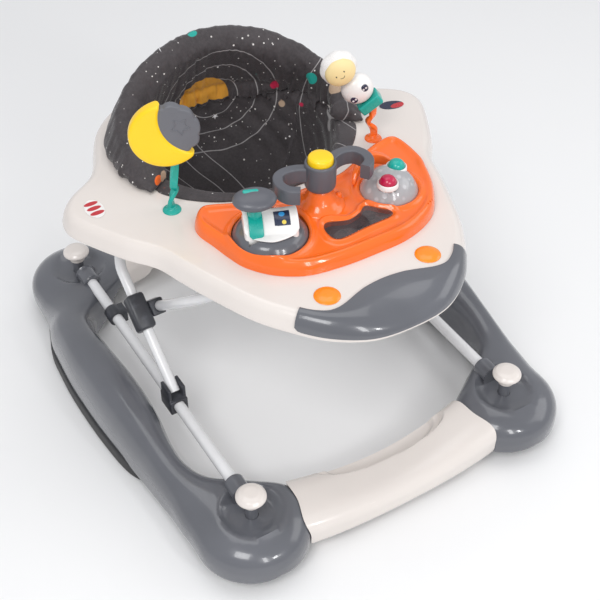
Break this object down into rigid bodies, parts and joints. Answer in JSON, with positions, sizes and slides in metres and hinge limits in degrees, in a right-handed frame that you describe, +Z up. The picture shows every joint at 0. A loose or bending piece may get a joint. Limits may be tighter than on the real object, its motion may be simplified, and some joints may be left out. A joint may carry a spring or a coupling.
{
  "type": "baby walker",
  "caption": "Folding baby walker with rocker rails, drop-down casters, padded sling seat in a moulded tray and a play panel with steering yoke.",
  "frame": {"origin": "on the floor, midway between the four feet", "axes": "+Z up, -Y the front that the child faces, +X across"},
  "size_m": [0.6396, 0.7354, 0.5255],
  "materials": {
    "cream": "glossy moulded",
    "slate": "glossy moulded",
    "black": "matt moulded",
    "clip": "satin moulded",
    "white_tube": "gloss powder coat",
    "orange": "glossy moulded",
    "fabric": "printed woven polyester",
    "yellow": "glossy moulded",
    "teal": "glossy moulded",
    "crimson": "glossy moulded",
    "cloud": "satin moulded",
    "white": "satin moulded",
    "dome": "glossy translucent",
    "smoke": "clear tinted",
    "steel": "plain"
  },
  "bodies": {
    "base": {"left_rail": "slate", "left_rocker": "black", "left_base_tube": "white_tube", "left_ring_clip": "clip", "right_rail": "slate", "right_rocker": "black", "right_base_tube": "white_tube", "right_ring_clip": "clip", "front_crossbar": "cream", "rear_crossbar": "cream"},
    "inner_frame": {"inner_leg_frame": "white_tube", "left_leg_saddle": "clip", "right_leg_saddle": "clip"},
    "outer_frame": {"outer_leg_frame": "white_tube", "left_cross_clamp": "clip", "right_cross_clamp": "clip"},
    "slide_blocks": {"left_slide_block": "clip", "right_slide_block": "clip"},
    "tray_unit": {"tray": "cream", "nose_bumper": "slate", "left_headlight": "orange", "right_headlight": "orange", "seat_back": "fabric", "seat_sling": "fabric", "play_panel": "orange", "window": "smoke", "dial_bowl": "slate", "dial_drum": "white", "light_dome": "dome"},
    "lever_unit": {"lever": "teal", "lever_head": "slate"},
    "steering": {"steering_wheel": "slate"},
    "horn": {"horn_button": "yellow"},
    "crimson_key": {"crimson_button": "crimson"},
    "teal_key": {"teal_button": "teal"},
    "moon_toy": {"moon_stalk": "teal", "moon": "yellow", "cloud": "cloud"},
    "lamb_toy": {"lamb_stalk": "orange", "lamb_base": "teal", "lamb_body": "white", "lamb_head": "white"},
    "front_left_height": {"front_left_knob": "cream"},
    "front_left_caster": {"front_left_fork": "clip", "front_left_axle": "steel"},
    "front_left_roller": {"front_left_wheel": "black"},
    "front_right_height": {"front_right_knob": "cream"},
    "front_right_caster": {"front_right_fork": "clip", "front_right_axle": "steel"},
    "front_right_roller": {"front_right_wheel": "black"},
    "rear_left_height": {"rear_left_knob": "cream"},
    "rear_left_caster": {"rear_left_fork": "clip", "rear_left_axle": "steel"},
    "rear_left_roller": {"rear_left_wheel": "black"},
    "rear_right_height": {"rear_right_knob": "cream"},
    "rear_right_caster": {"rear_right_fork": "clip", "rear_right_axle": "steel"},
    "rear_right_roller": {"rear_right_wheel": "black"}
  },
  "joints": [
    {"name": "frame_fold", "type": "hinge", "parent": "base", "child": "inner_frame", "pos_m": [0, 0.148, 0.0765], "axis": [1, 0, 0], "range_deg": [0, 28]},
    {"name": "cross_pivot", "type": "hinge", "parent": "inner_frame", "child": "outer_frame", "pos_m": [0, 0.03424, 0.17195], "axis": [-1, 0, 0], "range_deg": [0, 62.2]},
    {"name": "block_pivot", "type": "hinge", "parent": "outer_frame", "child": "slide_blocks", "pos_m": [0, -0.05913, 0.099], "axis": [1, 0, 0], "range_deg": [0, 34.2]},
    {"name": "tray_pivot", "type": "hinge", "parent": "outer_frame", "child": "tray_unit", "pos_m": [0, 0.19374, 0.29656], "axis": [1, 0, 0], "range_deg": [0, 34.2]},
    {"name": "front_left_drop", "type": "slide", "parent": "base", "child": "front_left_height", "axis": [0, 0, -1], "range_m": [0, 0.027]},
    {"name": "front_left_swivel", "type": "hinge", "parent": "front_left_height", "child": "front_left_caster", "pos_m": [-0.2115, -0.288, 0.0475], "axis": [0, 0, 1], "continuous": true},
    {"name": "front_left_spin", "type": "hinge", "parent": "front_left_caster", "child": "front_left_roller", "pos_m": [-0.2015, -0.288, 0.0275], "axis": [0, 1, 0], "continuous": true},
    {"name": "front_right_drop", "type": "slide", "parent": "base", "child": "front_right_height", "axis": [0, 0, -1], "range_m": [0, 0.027]},
    {"name": "front_right_swivel", "type": "hinge", "parent": "front_right_height", "child": "front_right_caster", "pos_m": [0.2115, -0.288, 0.0475], "axis": [0, 0, 1], "continuous": true},
    {"name": "front_right_spin", "type": "hinge", "parent": "front_right_caster", "child": "front_right_roller", "pos_m": [0.2215, -0.288, 0.0275], "axis": [0, 1, 0], "continuous": true},
    {"name": "rear_left_drop", "type": "slide", "parent": "base", "child": "rear_left_height", "axis": [0, 0, -1], "range_m": [0, 0.027]},
    {"name": "rear_left_swivel", "type": "hinge", "parent": "rear_left_height", "child": "rear_left_caster", "pos_m": [-0.2115, 0.288, 0.0475], "axis": [0, 0, 1], "continuous": true},
    {"name": "rear_left_spin", "type": "hinge", "parent": "rear_left_caster", "child": "rear_left_roller", "pos_m": [-0.2015, 0.288, 0.0275], "axis": [0, 1, 0], "continuous": true},
    {"name": "rear_right_drop", "type": "slide", "parent": "base", "child": "rear_right_height", "axis": [0, 0, -1], "range_m": [0, 0.027]},
    {"name": "rear_right_swivel", "type": "hinge", "parent": "rear_right_height", "child": "rear_right_caster", "pos_m": [0.2115, 0.288, 0.0475], "axis": [0, 0, 1], "continuous": true},
    {"name": "rear_right_spin", "type": "hinge", "parent": "rear_right_caster", "child": "rear_right_roller", "pos_m": [0.2215, 0.288, 0.0275], "axis": [0, 1, 0], "continuous": true},
    {"name": "lever_swing", "type": "hinge", "parent": "tray_unit", "child": "lever_unit", "pos_m": [-0.084, -0.128, 0.384], "axis": [0.9205, -0.3907, 0], "range_deg": [-25, 25]},
    {"name": "steering_turn", "type": "hinge", "parent": "tray_unit", "child": "steering", "pos_m": [0, -0.112, 0.4], "axis": [0, 0, 1], "range_deg": [-45, 45]},
    {"name": "horn_press", "type": "slide", "parent": "steering", "child": "horn", "axis": [0, 0, -1], "range_m": [0, 0.003], "stiffness_N_per_m": 600, "springref_m": -0.0005},
    {"name": "crimson_press", "type": "slide", "parent": "tray_unit", "child": "crimson_key", "axis": [0, 0, -1], "range_m": [0, 0.003], "stiffness_N_per_m": 500, "springref_m": -0.0005},
    {"name": "teal_press", "type": "slide", "parent": "tray_unit", "child": "teal_key", "axis": [0, 0, -1], "range_m": [0, 0.003], "stiffness_N_per_m": 500, "springref_m": -0.0005},
    {"name": "moon_swivel", "type": "hinge", "parent": "tray_unit", "child": "moon_toy", "pos_m": [-0.16, 0, 0.3603], "axis": [0, 0, 1], "range_deg": [-45, 45]},
    {"name": "lamb_swivel", "type": "hinge", "parent": "tray_unit", "child": "lamb_toy", "pos_m": [0.16, 0, 0.3603], "axis": [0, 0, 1], "range_deg": [-45, 45]}
  ],
  "couplings": [
    {"joint": "cross_pivot", "follows": "frame_fold", "ratio": 2.2123},
    {"joint": "block_pivot", "follows": "frame_fold", "ratio": 1.2123},
    {"joint": "tray_pivot", "follows": "frame_fold", "ratio": 1.2123}
  ]
}
